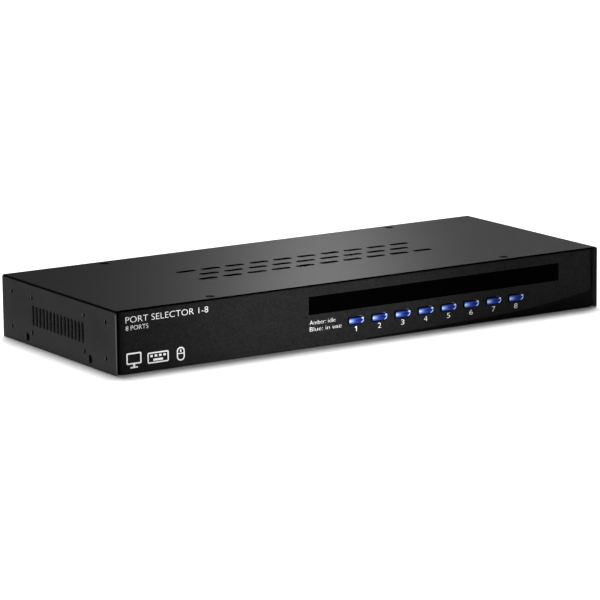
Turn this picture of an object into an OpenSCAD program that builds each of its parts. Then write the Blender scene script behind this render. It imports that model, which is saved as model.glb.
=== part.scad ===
// Eight-port KVM switch in a slim rack-height steel case.
// Millimetres. The origin is the centre of the case's bottom face, the front
// panel faces -Y, the sockets face +Y and +Z is up.

/* [Case] */
// Width over the cover's two sides
case_w = 400; // [400:1:430]
// Depth of the cover, front edge to rear edge
case_d = 160; // [160:1:200]
// Height of the case
case_h = 44; // [44:0.1:44.4]
// Thickness of the sheet steel
sheet = 1; // [0.8:0.1:1.2]
// Outer radius of the cover's two long bends
bend_r = 1.8; // [1.5:0.1:3]

/* [Front panel] */
// Wall thickness of the moulded panel
panel_t = 2.4; // [2:0.1:2.6]
// Radius of the panel's rounded-back ends
panel_end_r = 4; // [3.5:0.1:4.5]
// Left end of the long label strip
strip_x = -47.4; // [-60:0.1:-40]
// Length of the label strip
strip_w = 213; // [180:1:220]
// Height of the label strip
strip_h = 12.8; // [8:0.1:14]
// Lower edge of the label strip above the case's bottom
strip_z = 22.9; // [21:0.1:25]

/* [Buttons] */
// X of the first button
first_button_x = -8.7; // [-15:0.1:0]
// Distance from one button to the next
button_pitch = 19.5; // [18.5:0.1:20]
// Height of the buttons' centre line
button_z = 14.8; // [14:0.1:15.5]
// Width of a button cap
cap_w = 12.4; // [11:0.1:13.5]
// Height of a button cap
cap_h = 4.4; // [4.2:0.1:5.5]
// How far a cap stands out of the panel
cap_proud = 1.3; // [1:0.1:1.6]
// Gap between a cap and its window
cap_gap = 0.8; // [0.3:0.05:0.8]

/* [Side holes] */
// Number of vent slots in each side
vent_count = 15; // [9:2:15]
// Distance from one vent slot to the next
vent_pitch = 5; // [4.5:0.1:5]
// Width of a vent slot
vent_w = 3.3; // [2.5:0.1:3.4]
// Height of a vent slot
vent_h = 14.4; // [10:0.1:15]
// Core diameter of the tapped holes for the rack ears
ear_hole_d = 3.3; // [3:0.1:3.4]

/* [Rear sockets] */
// Distance from one computer port to the next
port_pitch = 32; // [31.5:0.1:32]
// X of the computer port nearest the left end
first_port_x = -180; // [-181:0.1:-179.5]
// Distance between the two jack screws of a port
jack_spacing = 25; // [24.9:0.01:25]

/* [Hidden] */
$fn = 48;
PORTS = 8;
half_w = case_w / 2;
front_y = -case_d / 2;
rear_y = case_d / 2;
inner_top = case_h - sheet;
eps = 0.01;
slip = 0.05;

// front panel and the space behind it
panel_half = half_w - 2.8;
panel_y = front_y + 0.3;
panel_back = panel_y + panel_t;
panel_low = 0.4;
panel_high = inner_top - 0.2;
strip_deep = 0.8;
strip_set = 0.25;
inlay_t = 0.4;
accent_start_x = 0;
accent_start_z = 1.2;
accent_bend_x = 100;
accent_bend_z = 3.5;
accent_r = 620;

// base tray
tray_half = half_w - sheet - 0.2;
wall_half = panel_half - 4.8;
front_wall_y = panel_back + 0.9;
front_wall_in = front_wall_y + sheet;
rear_wall_in = rear_y - 0.6 - sheet;
rear_wall_out = rear_y - 0.6;
flange_front = 11;
flange_rear = 12.4;
lip_h = 5.5;
tab_w = 9.6;
tab_h = 10.2;
side_hole_d = 6;
side_hole_y = 44.5;
side_hole_z = 5.4;

// rack-ear holes, centred on the side
ear_y = [66.5, 37];
ear_z = [9.5, 34.5];
ear_boss_d = 4.8;
ear_boss_t = 1.2;

// notch in the tray's rear top corners, clear of the inside of the cover's bends
corner_notch = 2.5;

// cover screws and the slots in the cover's top
cover_screw_x = 122;
cover_screw_y = case_d / 2 - 7;
cover_head_d = 6;
cover_core_d = 2.5;
top_slot_w = 5.6;
top_slot_l = 15.5;
top_slot_pitch = 20;
top_row_y = [-17, -2, 13];

// buttons, switches and the front board
flange_t = 0.7;
flange_w = cap_w + 3.8;
flange_h = cap_h + 3;
cap_corners = [0.6, 3, 1, 0.6];
crown_r = [44, 9];
flange_y = panel_back + 0.1;
stem_d = 3;
plunger_d = 3.5;
plunger_front = front_wall_y + 2.5;
housing_front = plunger_front + 1;
housing_t = 3.5;
housing_w = 6;
travel_room = 1;
board_t = 1.6;
front_board_y = housing_front + housing_t;
front_board_back = front_board_y + board_t;
last_button_x = first_button_x + (PORTS - 1) * button_pitch;
front_board_x0 = first_button_x - 26;
front_board_x1 = last_button_x + 26;
front_board_z0 = 6;
front_board_z1 = 33;
lamp_off = -5;
lamp_r = 1.5;
board_screw_r = 1;
spacer_x = [front_board_x0 + 5, (front_board_x0 + front_board_x1) / 2 - 15, front_board_x1 - 5];
spacer_z = 29;
panel_screw_x = [-185, -90, 0, 95, 185];
panel_screw_z = [3.9, 38.6];

// main board
board_z = 9;
board_top = board_z + board_t;
board_half = half_w - 11;
board_front = -45;
board_rear = rear_wall_in - 1.2;
standoff_x = [-182, -61, 61, 182];
standoff_y = [-38, 50];
link_x = 85;
link_w = 22;
header_w = link_w + 4;
header_d = 9.4;
header_h = 9;
front_link_z = 12.6;
main_link_y = -34;
ribbon_t = 0.9;
ribbon_w = 20.3;
ribbon_r = 6;
link_clamp = 12;
ribbon_z = board_top + link_clamp;
ribbon_y = front_board_back + link_clamp;

// rear sockets
dsub_z = board_top + 7.2;
dsub_w = 16.4;
dsub_h = 8.3;
dsub_skin = 0.5;
dsub_out = 6;
dsub_flange = [30.8, 12.5, 0.8];
dsub_body_t = 11;
jack_hex = 4.75;
jack_out = 5;
jack_core_r = 1.1;
usb_x = 70;
din_x = 90;
console_x = 117;
chain_x = 151;
power_x = 180;
din_r = 6.1;
din_z = [board_top + 6.6, board_top + 19.8];
din_front = rear_y + 0.4;
usb_z = [board_top + 4, board_top + 11.4];
usb_front = rear_y + 0.8;
usb_size = [14.4, 15.8];
din_size = [14.4, 26.4];
power_z = board_top + 6;
all_dsub_x = concat([for (i = [0 : PORTS - 1]) first_port_x + i * port_pitch], [console_x, chain_x]);

// ---- helpers ----

function unit(v) = v / norm(v);

// one rounded corner: the arc at b, where the lines from a and to c meet
function corner(a, b, c, r, steps = 8) =
  let (u = unit(a - b), v = unit(c - b))
  let (half = acos(u * v) / 2)
  let (centre = b + unit(u + v) * r / sin(half))
  let (from = b + u * r / tan(half) - centre)
  let (turn = (u[0] * v[1] - u[1] * v[0] > 0 ? -1 : 1) * (180 - 2 * half))
  [for (k = [0 : steps]) let (t = turn * k / steps)
    centre + [from[0] * cos(t) - from[1] * sin(t), from[0] * sin(t) + from[1] * cos(t)]];

// an outline whose corner i has radius radii[i]
function rounded(points, radii) =
  let (n = len(points))
  [for (i = [0 : n - 1])
    each corner(points[(i + n - 1) % n], points[i], points[(i + 1) % n], radii[i])];

function box_points(w, h) = [[-w / 2, -h / 2], [w / 2, -h / 2], [w / 2, h / 2], [-w / 2, h / 2]];

// lifts a shape drawn in X and Z to the XZ plane and runs it from y0 to y1
module along_y(y0, y1) {
  translate([0, y1, 0])
    rotate([90, 0, 0])
      linear_extrude(y1 - y0)
        children();
}

// a straight round bar or bore along Y
module rod_y(x, z, r, y0, y1) {
  translate([x, y1, z])
    rotate([90, 0, 0])
      cylinder(r = r, h = y1 - y0);
}

module bar(x0, x1, y0, y1, z0, z1) {
  translate([x0, y0, z0])
    cube([x1 - x0, y1 - y0, z1 - z0]);
}

// slot with round ends, drawn about its centre along its own X
module obround(l, w) {
  square([l - w, w], center = true);
  for (s = [-1, 1])
    translate([s * (l - w) / 2, 0])
      circle(d = w);
}

// rectangle with rounded top corners, standing on the X axis
module arch(w, h, r) {
  translate([-w / 2, 0])
    square([w, h - r]);
  translate([-w / 2 + r, 0])
    square([w - 2 * r, h]);
  for (s = [-1, 1])
    translate([s * (w / 2 - r), h - r])
      circle(r = r);
}

module both_sides() {
  children();
  mirror([1, 0, 0])
    children();
}

// pan-head screw at the origin, its head up and its shank down
module pan_screw(head_d, head_t, shank_r, shank_l) {
  difference() {
    cylinder(d = head_d, h = head_t);
    for (a = [0, 90])
      rotate(a)
        translate([-head_d * 0.32, -0.3, head_t * 0.45])
          cube([head_d * 0.64, 0.6, head_t]);
  }
  translate([0, 0, -shank_l])
    cylinder(r = shank_r, h = shank_l + eps);
}

// ---- case ----

module top_slots() {
  for (row = [0 : 2]) {
    count = row == 1 ? 9 : 10;
    for (i = [0 : count - 1])
      translate([(i - (count - 1) / 2) * top_slot_pitch, top_row_y[row], inner_top - 1])
        linear_extrude(sheet + 2)
          obround(top_slot_l, top_slot_w);
  }
}

module side_cuts() {
  translate([half_w - 3, 0, 0])
    rotate([90, 0, 90])
      linear_extrude(6) {
        for (i = [0 : vent_count - 1])
          translate([(i - (vent_count - 1) / 2) * vent_pitch, 22])
            rotate(90)
              obround(vent_h, vent_w);
        for (y = ear_y, s = [-1, 1], z = ear_z)
          translate([s * y, z])
            circle(d = ear_hole_d);
        for (s = [-1, 1])
          translate([s * side_hole_y, side_hole_z])
            circle(d = side_hole_d);
      }
}

module top_cover() {
  color("#2b2c2e")
    difference() {
      union() {
        along_y(front_y, rear_y)
          difference() {
            arch(case_w, case_h, bend_r);
            translate([0, -eps])
              arch(case_w - 2 * sheet, inner_top + eps, bend_r - sheet);
          }
        // burred edges that carry the thread of the rack-ear screws
        both_sides()
          for (y = ear_y, s = [-1, 1], z = ear_z)
            translate([half_w - sheet - ear_boss_t, s * y, z])
              rotate([0, 90, 0])
                cylinder(d = ear_boss_d, h = ear_boss_t + sheet / 2);
      }
      both_sides()
        side_cuts();
      top_slots();
      for (x = [-1, 1], y = [-1, 1])
        translate([x * cover_screw_x, y * cover_screw_y, inner_top - eps])
          cylinder(r1 = cover_head_d / 2 - sheet + slip, r2 = cover_head_d / 2 + slip, h = sheet + 2 * eps);
    }
}

// floor, walls and top flanges of the tray, seen from its end
module tray_section() {
  outer_r = sheet + 0.5;
  depth = rear_wall_out - front_wall_y;
  difference() {
    translate([(rear_wall_out + front_wall_y) / 2, inner_top / 2])
      polygon(rounded(box_points(depth, inner_top), [outer_r, outer_r, outer_r, outer_r]));
    translate([(rear_wall_out + front_wall_y) / 2, inner_top / 2])
      polygon(rounded(box_points(depth - 2 * sheet, inner_top - 2 * sheet), [0.5, 0.5, 0.5, 0.5]));
    translate([front_wall_y + flange_front, inner_top - 5])
      square([depth - flange_front - flange_rear, 10]);
  }
}

module dsub_outline(grow = 0) {
  w = dsub_w + 2 * grow;
  h = dsub_h + 2 * grow;
  slope = h * tan(10);
  points = [[-w / 2 + slope, -h / 2], [w / 2 - slope, -h / 2], [w / 2, h / 2], [-w / 2, h / 2]];
  r = 2 + grow;
  polygon(rounded(points, [r, r, r, r]));
}

module rear_cuts() {
  for (x = all_dsub_x) {
    translate([x, 0, dsub_z])
      along_y(rear_wall_in - 1, rear_y + 1)
        dsub_outline(0.4);
    for (s = [-1, 1])
      rod_y(x + s * jack_spacing / 2, dsub_z, 1.6, rear_wall_in - 1, rear_y + 1);
  }
  bar(usb_x - usb_size[0] / 2 - 0.3, usb_x + usb_size[0] / 2 + 0.3, rear_wall_in - 1, rear_y + 1,
    board_top - 0.3, board_top + usb_size[1] + 0.3);
  bar(din_x - din_size[0] / 2 - 0.3, din_x + din_size[0] / 2 + 0.3, rear_wall_in - 1, rear_y + 1,
    board_top - 0.3, board_top + din_size[1] + 0.3);
  rod_y(power_x, power_z, 4.9, rear_wall_in - 1, rear_y + 1);
}

module front_wall_cuts() {
  y0 = front_wall_y - 1;
  y1 = front_wall_in + 1;
  for (i = [0 : PORTS - 1])
    bar(first_button_x + i * button_pitch - flange_w / 2 - 0.6,
      first_button_x + i * button_pitch + flange_w / 2 + 0.6,
      y0, y1, button_z - flange_h / 2 - 0.6, button_z + flange_h / 2 + 0.6);
  for (x = panel_screw_x, z = panel_screw_z)
    rod_y(x, z, 1.5, y0, y1);
  for (x = spacer_x)
    rod_y(x, spacer_z, 1.55, y0, y1);
}

module base_tray() {
  color("#4a4c4f")
    difference() {
      union() {
        difference() {
          translate([-tray_half, 0, 0])
            rotate([90, 0, 90])
              linear_extrude(2 * tray_half)
                tray_section();
          both_sides()
            bar(wall_half, half_w + 1, front_wall_y - 1, 0, sheet, case_h);
        }
        both_sides() {
          bar(tray_half - sheet, tray_half, front_wall_y + 4, rear_wall_in - 3, 0, lip_h);
          for (s = [-1, 1])
            bar(tray_half - sheet, tray_half, s * side_hole_y - tab_w / 2, s * side_hole_y + tab_w / 2,
              0, tab_h);
        }
      }
      both_sides()
        for (s = [-1, 1])
          translate([tray_half - 3, s * side_hole_y, side_hole_z])
            rotate([0, 90, 0])
              cylinder(d = side_hole_d, h = 6);
      front_wall_cuts();
      rear_cuts();
      // the rear wall's top corners clear the inside of the cover's bends
      both_sides()
        bar(tray_half - corner_notch, half_w, 0, rear_y, inner_top - corner_notch, case_h);
      for (x = standoff_x, y = standoff_y)
        translate([x, y, -1])
          cylinder(d = 6.1, h = sheet + 2, $fn = 6);
      for (x = [-1, 1], y = [-1, 1])
        translate([x * cover_screw_x, y * cover_screw_y, 0]) {
          translate([0, 0, inner_top - 3])
            cylinder(d = cover_core_d, h = 5);
          translate([0, 0, inner_top - 0.8])
            cylinder(r1 = cover_head_d / 2 - sheet - 0.8 + slip, r2 = cover_head_d / 2 - sheet + slip,
              h = 0.8 + eps);
        }
    }
}

module cover_screws() {
  color("#16171a")
    for (x = [-1, 1], y = [-1, 1])
      translate([x * cover_screw_x, y * cover_screw_y, case_h])
        difference() {
          union() {
            translate([0, 0, -1.7])
              cylinder(r1 = cover_head_d / 2 - 1.7, r2 = cover_head_d / 2, h = 1.7);
            translate([0, 0, -6])
              cylinder(r = cover_core_d / 2 - slip, h = 5);
          }
          for (a = [20, 110])
            rotate(a)
              translate([-1.6, -0.35, -1])
                cube([3.2, 0.7, 2]);
        }
}

// ---- front panel ----

// the panel seen from above, its face and rounded ends moved in by inset
module panel_plan(inset, back) {
  r = panel_end_r - inset;
  w = panel_half - inset;
  y0 = panel_y + inset;
  translate([-(w - r), y0])
    square([2 * (w - r), back - y0]);
  if (back > y0 + r + eps)
    translate([-w, y0 + r])
      square([2 * w, back - y0 - r]);
  for (s = [-1, 1])
    intersection() {
      translate([s * (w - r), y0 + r])
        circle(r = r);
      translate([-w - 1, y0 - 1])
        square([2 * w + 2, back - y0 + 1]);
    }
}

// the panel's outer skin to a depth t, over its full height
module panel_skin(t) {
  back = panel_y + panel_end_r;
  translate([0, 0, panel_low])
    linear_extrude(panel_high - panel_low)
      difference() {
        panel_plan(0, back);
        panel_plan(t, back + 1);
      }
}

// the area under the accent's upper edge: a straight rise that turns into a long arc
module accent_area() {
  slope = (accent_bend_z - accent_start_z) / (accent_bend_x - accent_start_x);
  start = atan(slope);
  sweep = 12;
  steps = 32;
  cx = accent_bend_x - accent_r * sin(start);
  cz = accent_bend_z + accent_r * cos(start);
  arc = [for (k = [0 : steps]) let (a = start + sweep * k / steps)
    [cx + accent_r * sin(a), cz - accent_r * cos(a)]];
  polygon(concat([[accent_start_x, panel_low - 1], [accent_start_x, accent_start_z]], arc,
    [[arc[steps][0], panel_low - 1]]));
}

module accent_inlay() {
  color("#08080a")
    intersection() {
      panel_skin(inlay_t);
      along_y(front_y - 1, panel_y + panel_end_r + 1)
        accent_area();
    }
}

// cap outline: square at its left end, drawn round at its lower right corner
module cap_outline(grow = 0) {
  w = cap_w + 2 * grow;
  h = cap_h + 2 * grow;
  polygon(rounded(box_points(w, h), [for (r = cap_corners) r + grow]));
}

module front_panel() {
  color("#1d1d1f")
    difference() {
      union() {
        panel_skin(panel_t);
        for (x = panel_screw_x, z = panel_screw_z)
          rod_y(x, z, 2.7, panel_back - 0.5, front_wall_y);
      }
      accent_inlay();
      translate([strip_x + strip_w / 2, 0, strip_z + strip_h / 2])
        along_y(front_y - 1, panel_y + strip_set + strip_deep)
          polygon(rounded(box_points(strip_w, strip_h), [0.4, 0.4, 0.4, 0.4]));
      for (i = [0 : PORTS - 1])
        translate([first_button_x + i * button_pitch, 0, button_z])
          along_y(front_y - 1, panel_back + 1)
            cap_outline(cap_gap);
      for (x = panel_screw_x, z = panel_screw_z)
        rod_y(x, z, 0.95, panel_y + 0.9, front_wall_y + 1);
    }
}

module label_strip() {
  color("#020202")
    translate([strip_x + strip_w / 2, 0, strip_z + strip_h / 2])
      along_y(panel_y + strip_set, panel_y + strip_set + strip_deep)
        polygon(rounded(box_points(strip_w - 0.1, strip_h - 0.1), [0.35, 0.35, 0.35, 0.35]));
}

module panel_screws() {
  color("silver")
    for (x = panel_screw_x, z = panel_screw_z)
      translate([x, front_wall_in, z])
        rotate([-90, 0, 0])
          pan_screw(4, 1.3, 0.9, 3.2);
}

// ---- buttons and front board ----

module button(i) {
  color("#2b47b8")
    translate([first_button_x + (i - 1) * button_pitch, 0, button_z]) {
      intersection() {
        along_y(panel_y - cap_proud, flange_y + eps)
          cap_outline();
        // the crown: a long curve from end to end and a short one from top to bottom
        translate([0, panel_y - cap_proud + crown_r[0], -10])
          cylinder(r = crown_r[0], h = 20, $fn = 96);
        translate([-10, panel_y - cap_proud + crown_r[1], 0])
          rotate([0, 90, 0])
            cylinder(r = crown_r[1], h = 20);
      }
      along_y(flange_y, flange_y + flange_t)
        polygon(rounded(box_points(flange_w, flange_h), [0.8, 0.8, 0.8, 0.8]));
      rod_y(0, 0, stem_d / 2, flange_y, plunger_front);
    }
}

module switch_plunger(i) {
  color("#3a3a3c")
    rod_y(first_button_x + (i - 1) * button_pitch, button_z, plunger_d / 2,
      plunger_front, housing_front + 1.2);
}

module switch_housings() {
  color("#b9bcc2")
    for (i = [0 : PORTS - 1])
      translate([first_button_x + i * button_pitch, 0, button_z])
        difference() {
          union() {
            bar(-housing_w / 2, housing_w / 2, housing_front, front_board_y, -housing_w / 2, housing_w / 2);
            for (s = [-1, 1], t = [-2.2, 2.2]) {
              bar(s * 3.6 - 0.7, s * 3.6 + 0.7, front_board_y - 0.3, front_board_y, t - 0.4, t + 0.4);
              rod_y(s * 2.3, t, 0.35, housing_front - 0.2, housing_front + 0.5);
            }
          }
          rod_y(0, 0, plunger_d / 2 + slip, housing_front - 1, housing_front + 1.2 + travel_room);
        }
}

module front_board() {
  color("#1f5a34")
    difference() {
      bar(front_board_x0, front_board_x1, front_board_y, front_board_back, front_board_z0, front_board_z1);
      for (x = spacer_x)
        rod_y(x, spacer_z, board_screw_r + 0.2, front_board_y - 1, front_board_back + 1);
    }
}

module front_board_spacers() {
  color("silver")
    for (x = spacer_x)
      difference() {
        union() {
          rod_y(x, spacer_z, 2.5, front_wall_in, front_board_y);
          rod_y(x, spacer_z, 1.5, front_wall_y, front_wall_in + eps);
        }
        rod_y(x, spacer_z, board_screw_r + slip, front_wall_in + 0.5, front_board_y + 1);
      }
}

module front_board_screws() {
  color("silver")
    for (x = spacer_x)
      translate([x, front_board_back, spacer_z])
        rotate([-90, 0, 0])
          pan_screw(4, 1.3, board_screw_r, board_t + 4);
}

module indicator_lamps() {
  color("#d8dde2")
    for (i = [0 : PORTS - 1]) {
      x = first_button_x + i * button_pitch + lamp_off;
      union() {
        rod_y(x, button_z, lamp_r, housing_front, front_board_y - 0.6);
        rod_y(x, button_z, lamp_r + 0.2, front_board_y - 0.8, front_board_y);
        translate([x, housing_front, button_z])
          sphere(r = lamp_r);
      }
    }
}

// open box of a pin header, its mouth up
module header_box() {
  difference() {
    translate([-header_w / 2, -header_d / 2, 0])
      cube([header_w, header_d, header_h]);
    translate([-link_w / 2 - 0.3, -3.3, 2])
      cube([link_w + 0.6, 6.6, header_h]);
    translate([-2.3, -header_d / 2 - 1, 4])
      cube([4.6, 3, header_h]);
  }
}

// ribbon socket standing in a header, split where the ribbon is clamped
module ribbon_socket() {
  difference() {
    translate([-link_w / 2, -3, 2.1])
      cube([link_w, 6, 11.6]);
    translate([-link_w, -4, link_clamp - ribbon_t / 2 - slip])
      cube([2 * link_w, 8, ribbon_t + 2 * slip]);
  }
}

module front_header() {
  color("#202124")
    translate([link_x, front_board_back, front_link_z])
      rotate([-90, 0, 0])
        header_box();
}

module main_header() {
  color("#202124")
    translate([link_x, main_link_y, board_top])
      header_box();
}

module front_ribbon_socket() {
  color("#55585c")
    translate([link_x, front_board_back, front_link_z])
      rotate([-90, 0, 0])
        ribbon_socket();
}

module main_ribbon_socket() {
  color("#55585c")
    translate([link_x, main_link_y, board_top])
      ribbon_socket();
}

// up from the front socket, round a quarter turn and back into the main socket
module ribbon_cable() {
  turn_z = ribbon_z - ribbon_r;
  turn_y = ribbon_y + ribbon_r;
  color("#8d9096")
    translate([link_x - ribbon_w / 2, 0, 0])
      rotate([90, 0, 90])
        linear_extrude(ribbon_w) {
          translate([ribbon_y - ribbon_t / 2, front_link_z - 3])
            square([ribbon_t, turn_z - front_link_z + 3 + eps]);
          translate([turn_y - eps, ribbon_z - ribbon_t / 2])
            square([main_link_y + 3 - turn_y + eps, ribbon_t]);
          intersection() {
            translate([turn_y, turn_z])
              difference() {
                circle(r = ribbon_r + ribbon_t / 2);
                circle(r = ribbon_r - ribbon_t / 2);
              }
            translate([turn_y - 2 * ribbon_r, turn_z])
              square(2 * ribbon_r);
          }
        }
}

// ---- main board ----

module main_board() {
  color("#1f5a34")
    difference() {
      bar(-board_half, board_half, board_front, board_rear, board_z, board_top);
      for (x = standoff_x, y = standoff_y)
        translate([x, y, board_z - 1])
          cylinder(d = 3.3, h = board_t + 2);
    }
}

module board_standoffs() {
  color("silver")
    for (x = standoff_x, y = standoff_y)
      translate([x, y, 0])
        difference() {
          union() {
            cylinder(d = 6, h = sheet, $fn = 6);
            translate([0, 0, sheet - eps])
              cylinder(d = 5.2, h = board_z - sheet + eps);
          }
          translate([0, 0, 2])
            cylinder(d = 2.5, h = board_z);
        }
}

module board_screws() {
  color("silver")
    for (x = standoff_x, y = standoff_y)
      translate([x, y, board_top])
        pan_screw(5.6, 2, 1.2, 6);
}

// chip body with one pin row along each long side
module small_chip(l, w, h, pins) {
  translate([-l / 2, -w / 2, 0.15])
    cube([l, w, h]);
  for (s = [-1, 1], k = [0 : pins - 1])
    translate([(k - (pins - 1) / 2) * 1.27 - 0.2, s > 0 ? w / 2 - 0.1 : -w / 2 - 0.9, 0])
      cube([0.4, 1, 0.5]);
}

module controller_chip() {
  color("#111214")
    translate([-10, -8, board_top]) {
      translate([-7, -7, 0.15])
        cube([14, 14, 1.4]);
      for (a = [0 : 90 : 270], k = [0 : 15])
        rotate(a)
          translate([(k - 7.5) * 0.8 - 0.15, 6.9, 0])
            cube([0.3, 1.1, 0.5]);
    }
}

module video_selector_chips() {
  color("#111214")
    for (x = [-120, -78, 40])
      translate([x, 8, board_top])
        small_chip(17.9, 7.5, 2.3, 14);
}

module port_chips() {
  color("#111214")
    for (i = [0 : PORTS - 1])
      translate([first_port_x + i * port_pitch + 9, 36, board_top])
        small_chip(9.9, 3.9, 1.5, 8);
}

module crystal() {
  color("silver")
    translate([-10, -26, board_top])
      linear_extrude(3.5)
        obround(11, 4.6);
}

module capacitors() {
  color("#23294a")
    for (p = [[118, -20, 8], [130, -20, 8], [142, -20, 8], [118, 20, 6.3], [128, 20, 6.3], [-150, -14, 6.3]])
      translate([p[0], p[1], board_top]) {
        cylinder(d = p[2], h = 11.5);
        translate([0, 0, 11.5 - eps])
          cylinder(d = p[2] - 1, h = 0.4);
      }
}

module power_coil() {
  color("#2a2a2c")
    translate([150, 10, board_top])
      rotate_extrude()
        polygon([[0, 0], [6, 0], [6, 1.5], [4.5, 2.2], [4.5, 5.8], [6, 6.5], [6, 8], [0, 8]]);
}

module regulator() {
  color("#111214") {
    translate([161, 29, board_top + 4])
      cube([10, 4.5, 9]);
    translate([161, 32.5, board_top + 4])
      cube([10, 1, 15]);
    for (k = [-1 : 1])
      translate([165.6 + k * 2.54, 30.6, board_top])
        cube([0.8, 0.6, 4.1]);
  }
}

module heat_sink() {
  color("#6d7075")
    translate([155, 33.5, board_top]) {
      cube([22, 2, 19]);
      for (k = [0 : 5])
        translate([k * 4, 1.9, 0])
          cube([1.4, 6, 19]);
    }
}

module buzzer() {
  color("#141416")
    translate([-170, -20, board_top])
      difference() {
        cylinder(d = 12, h = 9);
        translate([0, 0, 6])
          cylinder(d = 2, h = 4);
      }
}

// ---- rear sockets ----

module dsub_shell(x) {
  y0 = rear_wall_in - dsub_flange[2];
  translate([x, 0, dsub_z])
    difference() {
      union() {
        along_y(y0, rear_wall_in)
          polygon(rounded(box_points(dsub_flange[0], dsub_flange[1]), [1, 1, 1, 1]));
        along_y(rear_wall_in - eps, rear_wall_in + dsub_out)
          dsub_outline();
      }
      along_y(y0 - 1, rear_wall_in + dsub_out + 1)
        dsub_outline(-dsub_skin);
      for (s = [-1, 1])
        rod_y(s * jack_spacing / 2, 0, 1.5, y0 - 1, rear_wall_in + 1);
    }
}

module dsub_insert(x) {
  y1 = rear_wall_in - dsub_flange[2];
  tip = rear_wall_in + dsub_out - 0.3;
  translate([x, 0, dsub_z])
    difference() {
      union() {
        along_y(y1 - eps, tip)
          dsub_outline(-dsub_skin - 0.02);
        bar(-dsub_flange[0] / 2, dsub_flange[0] / 2, y1 - dsub_body_t, y1, board_top - dsub_z, dsub_flange[1] / 2);
      }
      for (row = [-1 : 1], k = [0 : 4])
        rod_y((k - 2) * 2.29 + row * 0.57, row * 1.98, 0.5, tip - 4, tip + 1);
      for (s = [-1, 1])
        rod_y(s * jack_spacing / 2, 0, 1.5, y1 - 4, y1 + 1);
    }
}

module port_shells() {
  color("#c9ccd0")
    for (i = [0 : PORTS - 1])
      dsub_shell(all_dsub_x[i]);
}

module port_inserts() {
  color("#1c3f8f")
    for (i = [0 : PORTS - 1])
      dsub_insert(all_dsub_x[i]);
}

module console_port_shell() {
  color("#c9ccd0")
    dsub_shell(console_x);
}

module console_port_insert() {
  color("#1c3f8f")
    dsub_insert(console_x);
}

module chain_port_shell() {
  color("#c9ccd0")
    dsub_shell(chain_x);
}

module chain_port_insert() {
  color("#202124")
    dsub_insert(chain_x);
}

module jack_screws() {
  color("#b4b7bb")
    for (x = all_dsub_x, s = [-1, 1])
      difference() {
        union() {
          translate([x + s * jack_spacing / 2, rear_wall_out + jack_out, dsub_z])
            rotate([90, 0, 0])
              cylinder(r = jack_hex / 2 / cos(30), h = jack_out, $fn = 6);
          rod_y(x + s * jack_spacing / 2, dsub_z, 1.4, rear_wall_out - 5, rear_wall_out + eps);
        }
        rod_y(x + s * jack_spacing / 2, dsub_z, jack_core_r, rear_wall_out + 0.5, rear_wall_out + jack_out + 1);
      }
}

module keyboard_mouse_housing() {
  w = din_size[0] / 2;
  color("#9fa3a8")
    difference() {
      bar(din_x - w, din_x + w, rear_wall_in - 12, din_front, board_top, board_top + din_size[1]);
      for (z = din_z)
        rod_y(din_x, z, din_r + slip, rear_wall_in - 6, din_front + 1);
    }
}

// round six-pin socket with its ring groove, pin holes and key slot
module round_socket(z) {
  y0 = rear_wall_in - 6;
  y1 = din_front - 0.2;
  difference() {
    rod_y(din_x, z, din_r, y0, y1);
    difference() {
      rod_y(din_x, z, 4.9, y1 - 5, y1 + 1);
      rod_y(din_x, z, 4, y1 - 6, y1 + 2);
    }
    for (p = [[-2, -2.4], [2, -2.4], [-2.8, 0], [2.8, 0], [-1.1, 2.6], [1.1, 2.6]])
      rod_y(din_x + p[0], z + p[1], 0.45, y1 - 4, y1 + 1);
    bar(din_x - 1.2, din_x + 1.2, y1 - 4, y1 + 1, z - 0.6, z + 0.9);
  }
}

module keyboard_socket() {
  color("#6a4c93")
    round_socket(din_z[0]);
}

module mouse_socket() {
  color("#2f8f5b")
    round_socket(din_z[1]);
}

module usb_shield() {
  w = usb_size[0] / 2;
  color("#c9ccd0")
    difference() {
      bar(usb_x - w, usb_x + w, rear_wall_in - 15, usb_front, board_top, board_top + usb_size[1]);
      for (z = usb_z)
        bar(usb_x - 6.3, usb_x + 6.3, rear_wall_in - 13, usb_front + 1, z - 2.6, z + 2.6);
    }
}

module usb_tongues() {
  color("#e8e9ea")
    for (z = usb_z) {
      bar(usb_x - 6.2, usb_x + 6.2, rear_wall_in - 13, rear_wall_in - 11.5, z - 2.5, z + 2.5);
      bar(usb_x - 5.6, usb_x + 5.6, rear_wall_in - 11.6, usb_front - 1, z - 0.1, z + 1.8);
    }
}

module power_inlet() {
  color("#151517")
    difference() {
      union() {
        bar(power_x - 4.6, power_x + 4.6, rear_wall_in - 13, rear_wall_in - 0.1, board_top, board_top + 11);
        rod_y(power_x, power_z, 4.7, rear_wall_in - 0.2, rear_y + 0.6);
      }
      rod_y(power_x, power_z, 3.1, rear_y - 9, rear_y + 1);
      rod_y(power_x, power_z, 1.05, rear_y - 12, rear_y);
    }
}

module power_pin() {
  color("#c9ccd0")
    union() {
      rod_y(power_x, power_z, 1, rear_y - 12, rear_y - 1);
      translate([power_x, rear_y - 1, power_z])
        sphere(r = 1);
    }
}

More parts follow.
